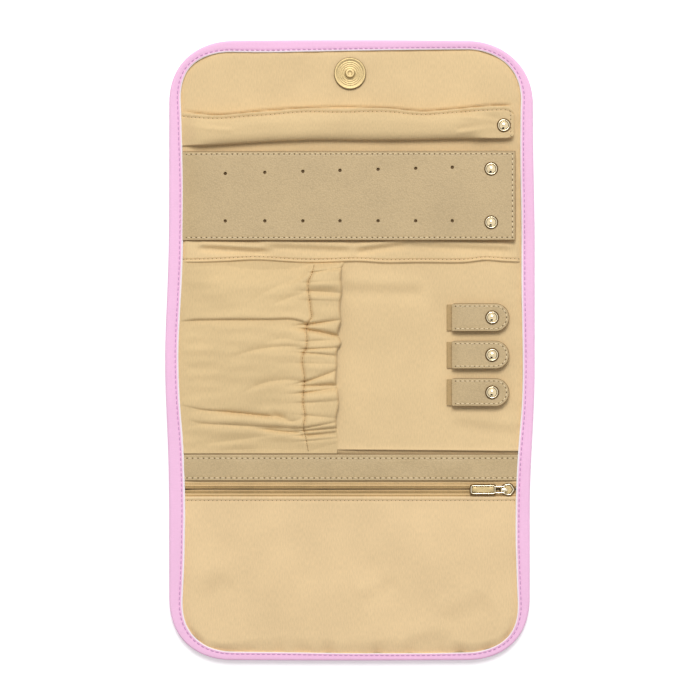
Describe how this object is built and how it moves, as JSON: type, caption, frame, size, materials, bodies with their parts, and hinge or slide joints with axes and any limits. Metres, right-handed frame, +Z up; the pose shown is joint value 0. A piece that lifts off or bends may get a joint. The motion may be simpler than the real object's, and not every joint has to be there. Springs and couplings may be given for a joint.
{
  "type": "jewelry roll",
  "caption": "Padded cloth roll that folds in three and shuts with a magnetic flap; inside are a ring bar, an earring panel, snap tabs, a gathered pocket and a zip pocket.",
  "frame": {"origin": "centre of the open roll's outline, on the table under its outer cover", "axes": "+X across the roll to the zip slider's side, +Y along the roll to the magnetic flap, +Z up out of the inside"},
  "size_m": [0.206, 0.351, 0.0144],
  "materials": {
    "pink_cover": "pink woven cotton cover, plain weave",
    "pink_binding": "pink cotton bias tape, stitched along its inner edge",
    "wadding": "white polyester wadding",
    "beige_lining": "beige cotton sateen with a fine weave",
    "tan_leather": "tan leather with a fine grain and stitched edges",
    "pale_gold": "polished pale gold plating",
    "plated_steel": "plated steel washer",
    "zip_tape": "brown woven zip tape",
    "zip_coil": "brown nylon coil",
    "elastic": "cream woven elastic"
  },
  "bodies": {
    "middle": {"middle_cover": "pink_cover", "middle_pad": "wadding", "middle_lining": "beige_lining", "middle_binding_left": "pink_binding", "middle_binding_right": "pink_binding", "gathered_pocket": "beige_lining", "pocket_elastic": "elastic", "tab_base_1": "tan_leather", "tab_base_2": "tan_leather", "tab_base_3": "tan_leather", "tab_stud_1": "pale_gold", "tab_stud_2": "pale_gold", "tab_stud_3": "pale_gold"},
    "lower": {"lower_cover": "pink_cover", "lower_pad": "wadding", "lower_lining": "beige_lining", "lower_binding": "pink_binding", "zip_pocket_front": "beige_lining", "leather_band": "tan_leather", "zip_tape_upper": "zip_tape", "zip_tape_lower": "zip_tape", "zip_coil_upper": "zip_coil", "zip_coil_lower": "zip_coil", "cover_magnet_disc": "pale_gold", "cover_magnet_backplate": "plated_steel"},
    "upper": {"upper_cover": "pink_cover", "upper_pad": "wadding", "upper_lining": "beige_lining", "upper_binding_left": "pink_binding", "upper_binding_right": "pink_binding", "ring_bar_stud": "pale_gold", "earring_stud_upper": "pale_gold", "earring_stud_lower": "pale_gold"},
    "flap": {"flap_cover": "pink_cover", "flap_pad": "wadding", "flap_lining": "beige_lining", "flap_binding": "pink_binding", "flap_magnet_disc": "pale_gold", "flap_magnet_backplate": "plated_steel"},
    "ring_bar": {"ring_bar_sleeve": "beige_lining", "ring_bar_filling": "wadding", "ring_bar_cap": "pale_gold", "ring_bar_socket": "pale_gold"},
    "earring_panel": {"earring_leather": "tan_leather", "earring_backing": "beige_lining", "earring_cap_upper": "pale_gold", "earring_cap_lower": "pale_gold", "earring_socket_upper": "pale_gold", "earring_socket_lower": "pale_gold"},
    "tab_1": {"tab_strap_1": "tan_leather", "tab_cap_1": "pale_gold", "tab_socket_1": "pale_gold"},
    "tab_2": {"tab_strap_2": "tan_leather", "tab_cap_2": "pale_gold", "tab_socket_2": "pale_gold"},
    "tab_3": {"tab_strap_3": "tan_leather", "tab_cap_3": "pale_gold", "tab_socket_3": "pale_gold"},
    "zip_slider": {"zip_slider_body": "pale_gold"},
    "zip_pull": {"zip_pull": "pale_gold"}
  },
  "joints": [
    {"name": "fold_lower", "type": "hinge", "parent": "middle", "child": "lower", "pos_m": [0, -0.05776, 0.0099], "axis": [1, 0, 0], "range_deg": [-179.5, 0]},
    {"name": "fold_upper", "type": "hinge", "parent": "middle", "child": "upper", "pos_m": [0, 0.05504, 0.0174], "axis": [-1, 0, 0], "range_deg": [-179.5, 0]},
    {"name": "flap_fold", "type": "hinge", "parent": "upper", "child": "flap", "pos_m": [0, 0.13746, 0.0067], "axis": [-1, 0, 0], "range_deg": [-15, 0]},
    {"name": "ring_bar_hinge", "type": "hinge", "parent": "upper", "child": "ring_bar", "pos_m": [-0.0937, 0.12596, 0.0079], "axis": [0, -1, 0], "range_deg": [0, 110]},
    {"name": "earring_panel_hinge", "type": "hinge", "parent": "upper", "child": "earring_panel", "pos_m": [-0.0937, 0.08656, 0.0076], "axis": [0, -1, 0], "range_deg": [0, 110]},
    {"name": "tab_1_hinge", "type": "hinge", "parent": "middle", "child": "tab_1", "pos_m": [0.05755, 0.01824, 0.00845], "axis": [0, -1, 0], "range_deg": [0, 150]},
    {"name": "tab_2_hinge", "type": "hinge", "parent": "middle", "child": "tab_2", "pos_m": [0.05755, -0.00276, 0.00845], "axis": [0, -1, 0], "range_deg": [0, 150]},
    {"name": "tab_3_hinge", "type": "hinge", "parent": "middle", "child": "tab_3", "pos_m": [0.05755, -0.02376, 0.00845], "axis": [0, -1, 0], "range_deg": [0, 150]},
    {"name": "zip_slide", "type": "slide", "parent": "lower", "child": "zip_slider", "axis": [-1, 0, 0], "range_m": [0, 0.168]},
    {"name": "zip_pull_hinge", "type": "hinge", "parent": "zip_slider", "child": "zip_pull", "pos_m": [0.0866, -0.07846, 0.0071], "axis": [0, 1, 0], "range_deg": [0, 170]}
  ]
}
